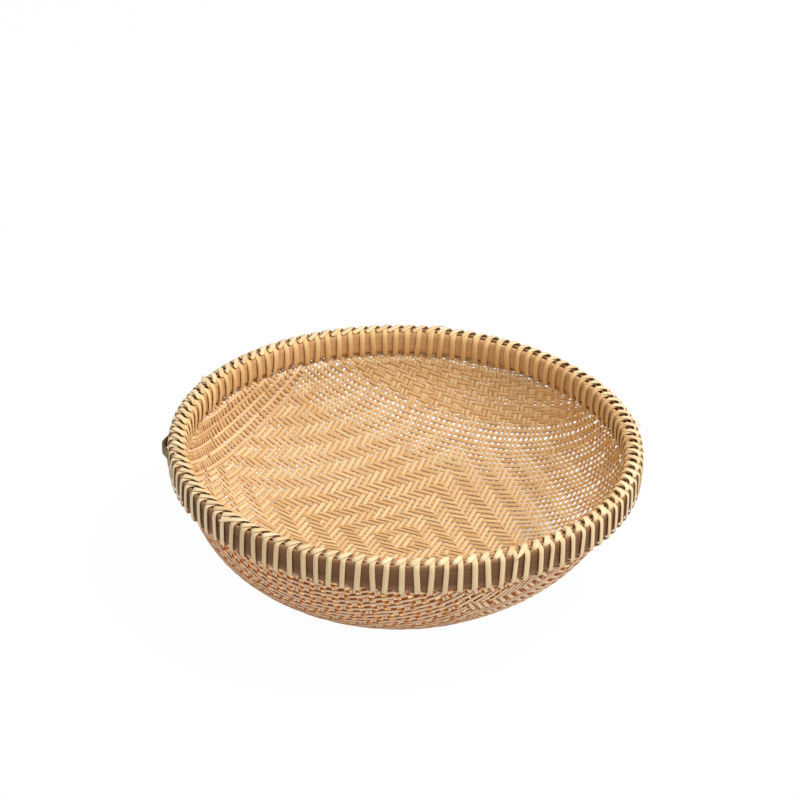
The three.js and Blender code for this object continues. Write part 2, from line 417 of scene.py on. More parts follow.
@dataclass(frozen=True)
class BambooFinish:
    """Split bamboo: fibres along the strip, a shade of its own, an edge colour, and painted shade
    where a strip dips under others. The edge colour is painted shade along the sides of the weave's
    strips, the filler and the lashing, and the paler cut edge of the outer hoop.
    """

    name: str
    pale: Colour
    deep: Colour
    # Colour towards the edges: painted shade along the sides of the weave's strips, the filler and
    # the lashing; the paler cut edge of the outer hoop
    edge: Colour
    back: Colour
    # Painted shade where a strip dips under the crossing strips: on its inside face, and on its
    # outside face, where it also runs along the sides
    dip_shade: Colour | None = None
    dip_shade_lift: tuple[float, float] = (-0.1, -1.0)
    back_dip_shade: Colour | None = None
    back_dip_shade_lift: tuple[float, float] = (-0.9, 0.3)
    back_side_shade: float = 1.3
    back_shade: float = 0.6
    edge_strength: float = 0.5
    edge_sharpness: float = 4.0
    back_strength: float = 0.0
    tone_strength: float = 0.6
    strip_stride: float = 97.0
    fibres_across: float = 9.0
    fibre_length: float = 9 * MM
    fibre_detail: float = 3.0
    fibre_contrast: float = 0.35
    patch_scale: float = 0.13
    patch_detail: float = 2.0
    roughness: float = 0.6
    roughness_spread: float = 0.3
    gloss: float = 0.22
    bump: float = 0.12
    bump_height: float = 0.1 * MM
    painted_light_tints: tuple[Tint, ...] = ()

    def _grain(self, sketch: NodeSketch) -> tuple[Output, Output]:
        """Fibres and slow patches along the strips, other ones on each strip.

        Args:
            sketch: The material's nodes.

        Returns:
            The fibres, and the shade from 0 for deep to 1 for pale.
        """
        tone = sketch.carried("tone")
        lengthwise = sketch.maths("DIVIDE", sketch.carried("along"), self.fibre_length)
        crosswise = sketch.maths("MULTIPLY", sketch.carried("across"), self.fibres_across)
        strip = sketch.maths("MULTIPLY", tone, self.strip_stride)
        sources = {0: lengthwise, 1: crosswise, 2: strip}
        spot = sketch.add("ShaderNodeCombineXYZ", sources).outputs[0]
        sources = {"Vector": spot, "Scale": 1.0, "Detail": self.fibre_detail}
        fibre = sketch.add("ShaderNodeTexNoise", sources).outputs[0]
        slow = sketch.scaled(spot, self.patch_scale)
        sources = {"Vector": slow, "Scale": 1.0, "Detail": self.patch_detail}
        patch = sketch.add("ShaderNodeTexNoise", sources).outputs[0]
        own_shade = sketch.maths("ADD", sketch.swing(tone, self.tone_strength), 0.5)
        shade = sketch.maths("ADD", sketch.swing(fibre, self.fibre_contrast * 2), own_shade)
        shade = sketch.maths("ADD", shade, sketch.maths("SUBTRACT", patch, 0.5))
        return fibre, sketch.add("ShaderNodeClamp", {"Value": shade}).outputs[0]

    def _both_faces(self, sketch: NodeSketch, shade: Output) -> Output:
        """Colour of the strips, with their edge colour and painted shade where they dip under others.

        Args:
            sketch: The material's nodes.
            shade: The strips' shade.

        Returns:
            The colour of the front face, or of the back where the strips are seen from behind.
        """
        lift = sketch.carried("lift")
        across = sketch.maths("ABSOLUTE", sketch.carried("across"))
        near_edge = sketch.maths("POWER", across, self.edge_sharpness)
        front = sketch.blend(shade, self.deep, self.pale)
        # Edge colour towards the sides: painted shade for the weave, filler and lashing; the paler
        # cut edge on the outer hoop
        towards_edge = sketch.maths("MULTIPLY", near_edge, self.edge_strength)
        front = sketch.blend(towards_edge, front, self.edge)
        # Painted shade on the inside face where the strip dips under others
        if self.dip_shade:
            front = sketch.blend(sketch.ramp(lift, *self.dip_shade_lift), front, self.dip_shade)
        back = sketch.blend(sketch.maths("MULTIPLY", shade, self.back_shade), self.back, self.pale)
        # Painted shade on the outside face where the strip dips in, and along its sides
        if self.back_dip_shade:
            side_shade_share = sketch.maths("MULTIPLY", near_edge, self.back_side_shade)
            back_painted_shade_share = sketch.maths("MAXIMUM", sketch.ramp(lift, *self.back_dip_shade_lift), side_shade_share)
            back = sketch.blend(sketch.maths("MINIMUM", back_painted_shade_share, 1.0), back, self.back_dip_shade)
        behind = sketch.maths("LESS_THAN", sketch.carried("rise"), 0.0)
        return sketch.blend(sketch.maths("MULTIPLY", behind, self.back_strength), front, back)

    def _tinted(self, sketch: NodeSketch, colour: Output) -> Output:
        """Lays the finish's painted light and shade, as faint tints, over a colour.

        Args:
            sketch: The material's nodes.
            colour: The colour.

        Returns:
            The tinted colour.
        """
        for tint in self.painted_light_tints:
            place = sketch.add("ShaderNodeTexCoord").outputs["Object"]
            if tint.along is Measure.OUTWARDS:
                spot = sketch.length(sketch.vectors("MULTIPLY", place, (1.0, 1.0, 0.0)))
            else:
                spot = sketch.add("ShaderNodeSeparateXYZ", {0: place}).outputs[0]
            share = sketch.ramp(spot, tint.start, tint.end)
            tinted = sketch.blend(1.0, colour, tint.colour, "MULTIPLY")
            colour = sketch.blend(share, colour, tinted)
        return colour

    def material(self) -> bpy.types.Material:
        """Builds the finish.

        Returns:
            The material.
        """
        material = bpy.data.materials.new(self.name)
        material.use_nodes = True
        sketch = NodeSketch(material.node_tree)
        fibre, shade = self._grain(sketch)
        colour = self._tinted(sketch, self._both_faces(sketch, shade))
        rough = sketch.maths("ADD", sketch.swing(fibre, self.roughness_spread), self.roughness)
        sources = {"Height": fibre, "Strength": self.bump, "Distance": self.bump_height}
        relief = sketch.add("ShaderNodeBump", sources).outputs[0]
        sources = {"Base Color": colour, "Roughness": rough, "Normal": relief}
        shader = sketch.add("ShaderNodeBsdfPrincipled", sources)
        shader.inputs["Specular IOR Level"].default_value = self.gloss
        sketch.add("ShaderNodeOutputMaterial", {"Surface": shader.outputs[0]})
        return material


WEAVE_FINISH = BambooFinish(
    name="weave_bamboo",
    pale=linear_colour(229, 200, 154),
    deep=linear_colour(199, 158, 105),
    # Painted shade: orange-brown edges for the slits between the strips
    edge=linear_colour(202, 138, 68),
    back=linear_colour(216, 186, 156),
    # Painted shade where strips dip under others, on the inside and on the outside
    dip_shade=linear_colour(226, 180, 118),
    back_dip_shade=linear_colour(156, 80, 16),
    # Painted light: a warm glow grows over the right wall, and the left wall is made paler and cooler
    painted_light_tints=(
        Tint(Measure.RIGHTWARDS, 62 * MM, 95 * MM, (1.14, 1.04, 0.82, 1.0)),
        Tint(Measure.RIGHTWARDS, -62 * MM, -95 * MM, (1.09, 1.1, 1.14, 1.0)),
    ),
    edge_strength=0.6,
    back_strength=1.0,
    fibre_contrast=0.65,
)
OUTER_HOOP_FINISH = BambooFinish(
    name="outer_hoop_bamboo",
    pale=linear_colour(138, 94, 56),
    deep=linear_colour(74, 45, 24),
    edge=linear_colour(170, 124, 80),
    back=linear_colour(186, 140, 100),
    back_strength=0.8,
    fibres_across=24.0,
    fibre_length=14 * MM,
    roughness=0.45,
)
INNER_HOOP_FINISH = BambooFinish(
    name="inner_hoop_bamboo",
    pale=linear_colour(222, 180, 131),
    deep=linear_colour(186, 138, 91),
    edge=linear_colour(176, 124, 80),
    back=linear_colour(196, 150, 106),
    fibres_across=24.0,
    fibre_length=18 * MM,
)
FILLER_FINISH = BambooFinish(
    name="filler_bamboo",
    pale=linear_colour(214, 170, 124),
    deep=linear_colour(170, 120, 80),
    # Painted shade: dark sides for the gaps between the filler and the hoops
    edge=linear_colour(92, 56, 34),
    back=linear_colour(170, 124, 90),
    fibres_across=5.0,
)
LASHING_FINISH = BambooFinish(
    name="lashing_bamboo",
    pale=linear_colour(236, 215, 174),
    deep=linear_colour(203, 172, 126),
    # Painted shade along the strands' sides
    edge=linear_colour(180, 144, 98),
    back=linear_colour(200, 164, 118),
    edge_strength=0.35,
    fibres_across=7.0,
    # Painted shade: the strands grow warmer and darker towards the inside of the rim
    painted_light_tints=(Tint(Measure.OUTWARDS, 109 * MM, 107.5 * MM, (0.98, 0.86, 0.66, 1.0)),),
)
LOOP_FINISH = BambooFinish(
    name="loop_bamboo",
    pale=linear_colour(150, 120, 80),
    deep=linear_colour(104, 78, 46),
    edge=linear_colour(66, 48, 32),
    back=linear_colour(150, 120, 90),
    fibres_across=10.0,
)


@dataclass
class BowlSurface:
    """Middle of the woven sheet: flat base, full sides, a neck and a clamped upright edge."""

    base_flat_radius: float = 34 * MM
    neck_radius: float = 106.5 * MM
    neck_height: float = 57.5 * MM
    fullness: float = 1.8
    sheet_thickness: float = 1.2 * MM
    lean: float = 6.5 * MM
    clamped_radius: float = 110.5 * MM
    flare_foot: tuple[float, float] = (109.2 * MM, 61.6 * MM)
    flare_top_height: float = 64.4 * MM
    weave_top: float = 71 * MM
    samples: int = 240
    floor_samples: int = 60
    probe: float = 0.4 * MM
    _radii: np.ndarray = field(init=False)
    _heights: np.ndarray = field(init=False)
    _arcs: np.ndarray = field(init=False)

    def __post_init__(self) -> None:
        """Works out the meridian and its length from the middle of the base."""
        half = self.sheet_thickness / 2
        sweep = np.linspace(0, math.pi / 2, self.samples)
        power = 2 / self.fullness
        wall = self.base_flat_radius
        wall = wall + (self.neck_radius - self.base_flat_radius) * np.sin(sweep) ** power
        wall = wall - half * np.sin(sweep)
        height = self.neck_height * (1 - np.cos(sweep) ** power) + half * np.cos(sweep)
        floor = np.linspace(0, self.base_flat_radius, self.floor_samples, endpoint=False)
        top_radii = [self.flare_foot[0], self.clamped_radius, self.clamped_radius]
        top_heights = [self.flare_foot[1], self.flare_top_height, self.weave_top]
        self._radii = np.concatenate([floor, wall, top_radii])
        self._heights = np.concatenate([np.full(len(floor), half), height, top_heights])
        steps = np.hypot(np.diff(self._radii), np.diff(self._heights))
        self._arcs = np.concatenate([[0.0], np.cumsum(steps)])

    @property
    def reach(self) -> float:
        """Length of the meridian from the middle of the base to the weave's cut edge."""
        return float(self._arcs[-1])

    def at(self, flat: np.ndarray) -> np.ndarray:
        """Lays points of the flattened sheet on the bowl.

        Args:
            flat: Points of the flattened sheet, whose distance from the middle is kept.

        Returns:
            The same points on the bowl.
        """
        arc = np.hypot(flat[:, 0], flat[:, 1])
        direction = flat / np.maximum(arc, TINY)[:, None]
        radius = np.interp(arc, self._arcs, self._radii)
        height = np.interp(arc, self._arcs, self._heights)
        shift = self.lean * np.maximum(1 - height / self.neck_height, 0)
        place = (radius * direction[:, 0] - shift, radius * direction[:, 1], height)
        return np.stack(place, axis=-1)

    def normals(self, flat: np.ndarray) -> np.ndarray:
        """Way that the inside of the bowl looks at points of the flattened sheet.

        Args:
            flat: Points of the flattened sheet.

        Returns:
            Directions of length 1.
        """
        step = self.probe
        right = self.at(flat + [step, 0]) - self.at(flat - [step, 0])
        ahead = self.at(flat + [0, step]) - self.at(flat - [0, step])
        return unit_rows(np.cross(right, ahead))


@dataclass
class WeaveMap:
    """How the straight warps and wefts lie on the flattened bowl."""

    middle: tuple[float, float] = (6 * MM, 19.5 * MM)
    weft_angle: float = math.radians(-22)
    warp_angle: float = math.radians(66.5)
    # Sag of the wefts at the left, per metre, and where it ends at the back
    bend_per_metre: float = 1.87
    bend_fade: float = 170 * MM
    # Spread of the warps towards the back and the front, per square metre
    back_fan: float = 9.0
    front_fan: float = 6.0
    fan_limit: float = 60 * MM
    # Uneven spread of the wefts at the right
    open_start: float = 30 * MM
    open_share: float = 0.055
    open_period: float = 83 * MM
    # Turns of the wefts at the front and of the warps at the left
    front_turn: float = 0.2
    turn_band: tuple[float, float] = (82 * MM, 137 * MM)
    turn_reach: tuple[float, float] = (40 * MM, 110 * MM)
    left_turn: float = 0.09
    left_band: tuple[float, float] = (50 * MM, 100 * MM)
    left_turn_reach: tuple[float, float] = (-75 * MM, 60 * MM)

    def at(self, u: np.ndarray, v: np.ndarray) -> np.ndarray:
        """Places points given along the weft and along the warp.

        Args:
            u: Distance along the weft from the middle of the weave.
            v: Distance along the warp from the middle of the weave.

        Returns:
            Points of the flattened bowl.
        """
        weft = np.array([math.cos(self.weft_angle), math.sin(self.weft_angle)])
        warp = np.array([math.cos(self.warp_angle), math.sin(self.warp_angle)])
        sag = self.bend_per_metre * np.minimum(u, 0) ** 2
        sag = sag * (1 - np.maximum(v, 0) / self.bend_fade)
        opening = self.open_share * np.maximum(u - self.open_start, 0)
        opening = opening * np.sin(FULL_TURN * v / self.open_period)
        fan = np.where(v > 0, self.back_fan, self.front_fan) * v ** 2
        turned = self.front_turn * smooth_step(-v, *self.turn_band)
        turned = turned * (np.clip(u, *self.turn_reach) - self.turn_reach[1])
        left = self.left_turn * smooth_step(-u, *self.left_band)
        left = left * (np.clip(v, *self.left_turn_reach) - self.left_turn_reach[1])
        across = u + fan * np.maximum(u, -self.fan_limit) + left
        u, v = np.broadcast_arrays(across, v - sag - opening + turned)
        return np.array(self.middle) + u[:, None] * weft + v[:, None] * warp


@dataclass
class WovenBowl:
    """Warps and wefts of thin split bamboo, interlaced in one sheet."""

    surface: BowlSurface = field(default_factory=BowlSurface)
    plan: WeaveMap = field(default_factory=WeaveMap)
    strip_width: float = 2.25 * MM
    strip_thickness: float = 0.4 * MM
    lift: float = 0.26 * MM
    seed: int = 23
    # Edges of the weave's zones
    dense_edge: float = 84.5 * MM
    band_edge: float = 73 * MM
    middle_edge: float = 33 * MM
    left_edge: float = 100 * MM
    herringbone_edge: float = 74 * MM
    right_edge: tuple[float, float] = (86 * MM, 106 * MM)
    mat_reach: float = 175 * MM
    # Distances from strip to strip
    dense_pitch: float = 1.74 * MM
    front_dense_pitch: float = 2.6 * MM
    band_pitch: float = 3.04 * MM
    floor_pitch: float = 2.62 * MM
    middle_pitch: float = 2.9 * MM
    left_warp_pitch: float = 2.2 * MM
    warp_pitch: float = 3.05 * MM
    open_warp_pitch: float = 3.55 * MM
    open_warp_zone: tuple[float, float] = (60 * MM, 105 * MM)
    # How many strips each pattern takes before it repeats
    left_repeat: int = 3
    left_tie_repeat: int = 17
    left_tie_step: int = 4
    dense_repeat: int = 3
    twill_repeat: int = 6
    # Share of the room between its neighbours that a strip may fill
    packing_share: float = 0.8
    edge_packing_share: float = 0.95
    left_packing_share: float = 0.96
    back_packing_share: float = 1.02
    front_packing_share: float = 0.58
    # Warps of the dense weave, drawn together in pairs
    back_pull: float = 0.4 * MM
    front_pull: float = 0.85 * MM
    pull_fade: float = 6 * MM
    paired_width_share: float = 0.72
    # Thicker strips of the dense weave and the left wall
    back_depth: float = 1.4
    front_depth: float = 2.3
    left_depth: float = 1.5
    left_lift: float = 1.3
    # Slimmer strips of the open zone at the right and the band at the back
    open_zone: tuple[float, float] = (36 * MM, 72 * MM)
    open_zone_end: tuple[float, float] = (84 * MM, 104 * MM)
    open_zone_front: tuple[float, float] = (-60 * MM, 5 * MM)
    open_front_share: float = -0.5
    open_slimming: float = 0.24
    open_band: tuple[float, float] = (60 * MM, 70 * MM)
    band_slimming: float = 0.22
    # Holes where the lashing pushes through
    hole_shift: float = 0.75
    hole_height: float = 59.4 * MM
    hole_reach: float = 1.6 * MM
    hole_share: float = 0.6
    # Where a strip changes sides between two crossings
    change_start: float = 0.28
    change_end: float = 0.72
    change_lift: float = 0.72
    # Cut at the rim
    cut_margin: float = 0.2 * MM
    fewest_points: int = 4
    # Small differences between strips
    width_spread: float = 0.12
    place_spread: float = 0.16 * MM
    place_wave: float = 31 * MM
    open_unevenness: float = 0.8
    fine_spread: float = 0.09 * MM
    fine_wave: float = 3.7 * MM
    fine_turns: float = 5.0
    tone_spread: float = 0.8
    # Painted light: warps are shifted paler and wefts darker, for warps that catch the light and
    # wefts in shade
    warp_painted_light: float = 0.4
    weft_painted_shade: float = -0.2

    def _weft_pitch(self, v: float) -> float:
        """Distance to the next weft.

        Args:
            v: Place of the weft.

        Returns:
            The distance, away from the middle of the weave.
        """
        if abs(v) > self.dense_edge:
            return self.dense_pitch if v > 0 else self.front_dense_pitch
        if abs(v) > self.band_edge:
            return self.band_pitch
        return self.middle_pitch if abs(v) < self.middle_edge else self.floor_pitch

    def _warp_pitch(self, u: float) -> float:
        """Distance to the next warp.

        Args:
            u: Place of the warp.

        Returns:
            The distance, away from the middle of the weave.
        """
        if u < -self.left_edge:
            return self.left_warp_pitch
        widening = (self.open_warp_pitch - self.warp_pitch) * smooth_step(u, *self.open_warp_zone)
        return self.warp_pitch + float(widening)

    def _places(self, pitch_at: Callable[[float], float]) -> tuple[np.ndarray, np.ndarray]:
        """Numbers and places of all strips of one direction.

        Args:
            pitch_at: Gives the distance to the next strip from a place.

        Returns:
            The strips' numbers, 0 in the middle, and their places.
        """
        sides = []
        for sign in (1, -1):
            places = [0.0]
            while abs(places[-1]) < self.mat_reach:
                places.append(places[-1] + sign * pitch_at(places[-1]))
            sides.append(places)
        ahead, behind = sides
        places = np.array(behind[:0:-1] + ahead)
        numbers = np.arange(len(places)) - (len(behind) - 1)
        return numbers, places

    def _dense_share(self, u: np.ndarray, v: np.ndarray) -> np.ndarray:
        """Share from 0 to 1 to which the weave is the dense one, with its warps in pairs.

        Args:
            u: Place along the weft.
            v: Place along the warp.

        Returns:
            The share, which is 0 on the floor and at the front corner.
        """
        fade = self.pull_fade
        dense = smooth_step(np.abs(v), self.dense_edge - fade, self.dense_edge + fade)
        corner = smooth_step(u, self.herringbone_edge - fade, self.herringbone_edge + fade)
        return dense * np.where(v < 0, 1 - corner, 1)

    def _pull(self, i: np.ndarray, u: np.ndarray, v: np.ndarray) -> np.ndarray:
        """How far a warp is drawn to the other one of its pair.

        Args:
            i: Number of the warp.
            u: Its place.
            v: Place along the warp.

        Returns:
            Signed distance along the weft.
        """
        reach = np.where(v > 0, self.back_pull, self.front_pull)
        return np.where(i % 2 == 0, 1, -1) * reach * self._dense_share(u, v)

    def _slimness(self, along_warp: bool, u: np.ndarray, v: np.ndarray) -> np.ndarray:
        """Share of its full width that a strip keeps.

        Args:
            along_warp: Whether it is a warp.
            u: Places along the weft.
            v: Places along the warp.

        Returns:
            The share, less in the open zone at the right and in the pairs of the front wall.
        """
        dense = self._dense_share(u, v)
        right = smooth_step(u, *self.open_zone) * (1 - smooth_step(u, *self.open_zone_end))
        back_share = smooth_step(v, *self.open_zone_front)
        right = right * (self.open_front_share + (1 - self.open_front_share) * back_share)
        band = self.band_slimming * smooth_step(v, *self.open_band)
        slim = 1 - np.maximum(self.open_slimming * right, band) * (1 - dense)
        if along_warp:
            slim = slim * (1 - (1 - self.paired_width_share) * dense * (v < 0))
        return slim

    def _packing(self, along_warp: bool, u: np.ndarray, v: np.ndarray) -> np.ndarray:
        """Share of the room between its neighbours that a strip may fill.

        Args:
            along_warp: Whether it is a warp.
            u: Places along the weft.
            v: Places along the warp.

        Returns:
            The share.
        """
        edge = smooth_step(u, *self.right_edge)
        share = self.packing_share + (self.edge_packing_share - self.packing_share) * edge
        if along_warp:
            left = smooth_step(-u, self.left_edge - 2 * self.pull_fade, self.left_edge)
            return share + (self.left_packing_share - share) * left
        tight = np.where(v > 0, self.back_packing_share, self.front_packing_share)
        return share + (tight - share) * self._dense_share(u, v)

    def _hole_share(self, points: np.ndarray) -> np.ndarray:
        """Share of its width that a strip keeps where the lashing pushes through beside it.

        Args:
            points: Points of the strip.

        Returns:
            The share, less just below the hoops at each turn of the lashing.
        """
        turns = np.arctan2(points[:, 1], points[:, 0]) / TURN_ANGLE - self.hole_shift
        beside = (turns - np.round(turns)) * TURN_ANGLE * self.surface.neck_radius
        below = points[:, 2] - self.hole_height
        return 1 - self.hole_share * np.exp(-(beside ** 2 + below ** 2) / self.hole_reach ** 2)

    def _warp_on_top(self, i: int, u: float, j: int, v: float) -> bool:
        """Whether the warp lies on the inside where two strips cross.

        Args:
            i: Number of the warp.
            u: Its place.
            j: Number of the weft.
            v: Its place.

        Returns:
            True where the warp shows inside the bowl.
        """
        if u < -self.left_edge:
            tie = j + self.left_tie_step * (i // self.left_repeat)
            return i % self.left_repeat == 0 and tie % self.left_tie_repeat != 0
        front_corner = v < 0 and u > self.herringbone_edge
        if abs(v) > self.dense_edge and not front_corner:
            return (j + i // 2) % self.dense_repeat != 0
        return (abs(i) + abs(j)) % self.twill_repeat < self.twill_repeat // 2

    def _stations(self, places: np.ndarray, tops: np.ndarray) -> tuple[np.ndarray, np.ndarray]:
        """Points along one strip: one at each crossing, and two where it changes sides.

        Args:
            places: Where it crosses the other strips.
            tops: 1 where it lies inside and -1 where it lies outside.

        Returns:
            The points' places and their lift from the sheet, from -1 to 1.
        """
        spots = []
        lifts = []
        for index in range(len(places)):
            spots.append(places[index])
            lifts.append(tops[index])
            if index + 1 < len(places) and tops[index] != tops[index + 1]:
                gap = places[index + 1] - places[index]
                for share, top in zip((self.change_start, self.change_end), tops[index:]):
                    spots.append(places[index] + share * gap)
                    lifts.append(self.change_lift * top)
        return np.array(spots), np.array(lifts)

    def _strip(
        self, number: int, along_warp: bool, place: float,
        stations: tuple[np.ndarray, np.ndarray], draws: np.random.Generator,
    ) -> StripPath | None:
        """One warp or weft on the bowl, cut where the sheet ends.

        Args:
            number: Its number.
            along_warp: Whether it is a warp.
            place: Where the strip crosses the middle strip of the other direction.
            stations: Places and lift of its points.
            draws: Source of the small differences between strips.

        Returns:
            The strip, or None where it misses the bowl.
        """
        spots, lifts = stations
        phase, width, tone, shift = draws.random(4)
        across = np.full(len(spots), place)
        u, v = (across, spots) if along_warp else (spots, across)
        turned = phase * FULL_TURN
        uneven = 1 + self.open_unevenness * smooth_step(u, *self.open_zone)
        wave = np.sin(spots / self.place_wave + turned) + 2 * shift - 1
        fine_wave = np.sin(spots / self.fine_wave + self.fine_turns * turned)
        beside = self.place_spread * uneven * wave + self.fine_spread * fine_wave + place
        if along_warp:
            beside = beside + self._pull(number, u, v)

        def flat_at(offset: float) -> np.ndarray:
            """The strip's line on the flattened sheet, moved sideways."""
            line = beside + offset
            return self.plan.at(line, spots) if along_warp else self.plan.at(spots, line)

        flat = flat_at(0.0)
        inside = np.hypot(flat[:, 0], flat[:, 1]) < self.surface.reach - self.cut_margin
        if inside.sum() < self.fewest_points:
            return None
        keep = slice(int(np.argmax(inside)), len(inside) - int(np.argmax(inside[::-1])))
        points = self.surface.at(flat)[keep]
        pitch = self._warp_pitch(place) if along_warp else self._weft_pitch(place)
        neighbour = self.surface.at(flat_at(pitch))[keep]
        tangent = unit_rows(np.gradient(points, axis=0))
        gap = neighbour - points
        gap = gap - (gap * tangent).sum(axis=1, keepdims=True) * tangent
        u, v = u[keep], v[keep]
        room = np.linalg.norm(gap, axis=1) * self._packing(along_warp, u, v) / self.strip_width
        breadth = np.minimum(self._slimness(along_warp, u, v), room) * self._hole_share(points)
        left = smooth_step(-u, self.left_edge - self.pull_fade, self.left_edge + self.pull_fade)
        depth = 1.0
        if not along_warp:
            thick = np.where(v > 0, self.back_depth, self.front_depth)
            dense = (thick - 1) * self._dense_share(u, v)
            depth = 1 + np.maximum(dense, (self.left_depth - 1) * left)
        return StripPath(
            points=points,
            facing=self.surface.normals(flat)[keep],
            lift=lifts[keep] * (1 + (self.left_lift - 1) * left),
            breadth=breadth * (1 + self.width_spread * (2 * width - 1)),
            depth=depth,
            # The tone carries each strip's own random tone plus the painted light that makes warps
            # paler and wefts darker
            tone=float(tone) * self.tone_spread + (self.warp_painted_light if along_warp else self.weft_painted_shade),
        )

    def build(self) -> list[Piece]:
        """Makes the strips of both directions.

        Returns:
            The pieces of the bowl.
        """
        draws = np.random.default_rng(self.seed)
        warp_numbers, warp_places = self._places(self._warp_pitch)
        weft_numbers, weft_places = self._places(self._weft_pitch)
        warps_on_top = [
            [self._warp_on_top(i, u, j, v) for j, v in zip(weft_numbers, weft_places)]
            for i, u in zip(warp_numbers, warp_places)
        ]
        tops = np.where(warps_on_top, 1, -1)
        warps = []
        for i, u, row in zip(warp_numbers, warp_places, tops):
            warps.append(self._strip(i, True, u, self._stations(weft_places, row), draws))
        wefts = []
        for j, v, column in zip(weft_numbers, weft_places, -tops.T):
            crossed = warp_places + self._pull(warp_numbers, warp_places, v)
            wefts.append(self._strip(j, False, v, self._stations(crossed, column), draws))

        sweep = StripSweep(self.strip_width, self.strip_thickness, self.lift)
        material = WEAVE_FINISH.material()
        pieces = []
        halves = ((("warps_left", "warps_right"), warps), (("wefts_front", "wefts_back"), wefts))
        for names, strips in halves:
            real = [strip for strip in strips if strip is not None]
            half = len(real) // 2
            for name, share in zip(names, (real[:half], real[half:])):
                piece = sweep.draw(name, share, material)
                seat(piece, "woven_bowl")
                pieces.append(piece)
        return pieces


@dataclass
class LappedHoop:
    """A bent strip whose two shaved ends lie one over the other."""

    node: str
    slot: str
    finish: BambooFinish
    faces_out: bool
    lap_share: float
    thickness: float
    squareness: float = 0.3
    lap_length: float = 38 * MM
    tip_depth: float = 0.3
    corners: int = 20
    steps: int = 420

    def build(self) -> list[Piece]:
        """Makes the hoop where its solid lies.

        Returns:
            The hoop.
        """
        low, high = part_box(self.node)
        radius = high.y - self.thickness / 2
        lap = self.lap_length / radius
        turned = np.linspace(0, FULL_TURN + lap, self.steps)
        start_share = np.clip(turned / lap, 0, 1)
        end_share = np.clip((turned[-1] - turned) / lap, 0, 1)
        shaved = 1 - self.tip_depth
        inward = (1 - start_share) * shaved * self.thickness / 2
        outward = (1 - end_share) * shaved * self.thickness / 2
        angles = self.lap_share * FULL_TURN + turned
        points = polar_points(radius - inward + outward, angles, (low.z + high.z) / 2)
        outwards = polar_points(1.0, angles, 0.0)
        path = StripPath(points, outwards if self.faces_out else -outwards)
        path.depth = self.tip_depth + shaved * np.minimum(start_share, end_share)
        sweep = StripSweep(
            high.z - low.z, self.thickness, corners=self.corners, squareness=self.squareness
        )
        piece = sweep.draw(self.node + "_strip", [path], self.finish.material())
        seat(piece, self.node)
        return [piece]


@dataclass
class RimFiller:
    """The narrow strip on the weave's cut edge, between the hoops."""

    node: str = "rim_filler"
    room: float = 2.3 * MM
    side_gap: float = 0.6 * MM
    outward: float = 0.1 * MM
    rise: float = 0.35 * MM
    joint_share: float = 0.12
    joint_gap: float = 0.3 * MM
    corners: int = 12
    squareness: float = 0.35
    steps: int = 330

    def build(self) -> list[Piece]:
        """Makes the filler where its solid lies.

        Returns:
            The filler.
        """
        low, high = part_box(self.node)
        radius = high.y - self.room / 2 + self.outward
        turn = FULL_TURN - self.joint_gap / radius
        angles = self.joint_share * FULL_TURN + np.linspace(0, turn, self.steps)
        points = polar_points(radius, angles, (low.z + high.z) / 2 + self.rise)
        path = StripPath(points, np.array([0.0, 0.0, 1.0]))
        width = self.room - 2 * self.side_gap
        sweep = StripSweep(width, high.z - low.z, corners=self.corners, squareness=self.squareness)
        piece = sweep.draw("filler_strip", [path], FILLER_FINISH.material())
        seat(piece, self.node)
        return [piece]


# Course of a strand through one turn: radius in mm, turns, height in mm
STRAND_ROWS = (
    (112.2, -0.2, 59.3), (113.4, -0.05, 59.4), (114.5, 0.0, 60.0), (114.8, 0.0, 62.5),
    (114.85, 0.0, 67.0), (114.75, 0.0, 71.5), (114.5, 0.0, 73.3), (113.8, 0.0, 74.1),
    (112.6, 0.03, 74.4), (110.6, 0.08, 74.45), (108.8, 0.12, 74.4), (107.3, 0.15, 74.0),
    (106.2, 0.16, 72.9), (105.6, 0.17, 70.9), (105.4, 0.17, 67.6), (105.6, 0.17, 64.4),
    (106.1, 0.16, 61.8), (106.8, 0.16, 60.3), (108.2, 0.25, 59.4), (110.3, 0.5, 59.2),
)
# A leaf: radius in mm, turns, height in mm, how far it faces outwards and up, breadth, drift
LEAF_ROWS = (
    (112.0, -0.6, 72.8, 0.75, 0.65, 0.15, 0.0), (112.5, -0.5, 73.6, 0.75, 0.65, 0.55, 0.0),
    (112.8, -0.38, 74.4, 0.65, 0.75, 0.9, 0.0), (112.5, -0.24, 75.0, 0.4, 0.9, 1.1, 0.0),
    (111.7, -0.1, 75.2, 0.15, 1.0, 1.15, 0.0), (110.7, 0.02, 75.2, 0.0, 1.0, 1.1, 0.0),
    (109.6, 0.12, 75.1, -0.15, 1.0, 1.0, 0.06), (108.6, 0.19, 74.85, -0.3, 0.95, 0.88, 0.18),
    (107.7, 0.23, 74.45, -0.5, 0.85, 0.74, 0.32), (106.9, 0.24, 73.8, -0.8, 0.6, 0.52, 0.43),
    (106.6, 0.22, 72.8, -1.0, 0.2, 0.22, 0.5),
)
# The last rows of a leaf at the back, which ends on top of the inner hoop, in these columns
FLAT_END_COLUMNS = [0, 2, 3, 4, 5]
FLAT_END_ROWS = (
    (108.0, 74.6, -0.35, 0.93, 0.95), (107.4, 74.45, -0.45, 0.9, 0.85),
    (107.0, 74.2, -0.55, 0.83, 0.6),
)
# A loose end: the columns of a leaf, without the drift
TAIL_ROWS = (
    (110.8, 0.1, 75.3, 0.0, 1.0, 0.9), (112.4, -0.15, 75.35, 0.2, 1.0, 0.9),
    (113.8, -0.4, 75.0, 0.5, 0.85, 0.8), (114.8, -0.62, 74.4, 0.6, 0.8, 0.65),
    (115.6, -0.84, 73.9, 0.5, 0.85, 0.45), (116.2, -1.0, 73.7, 0.4, 0.9, 0.25),
)


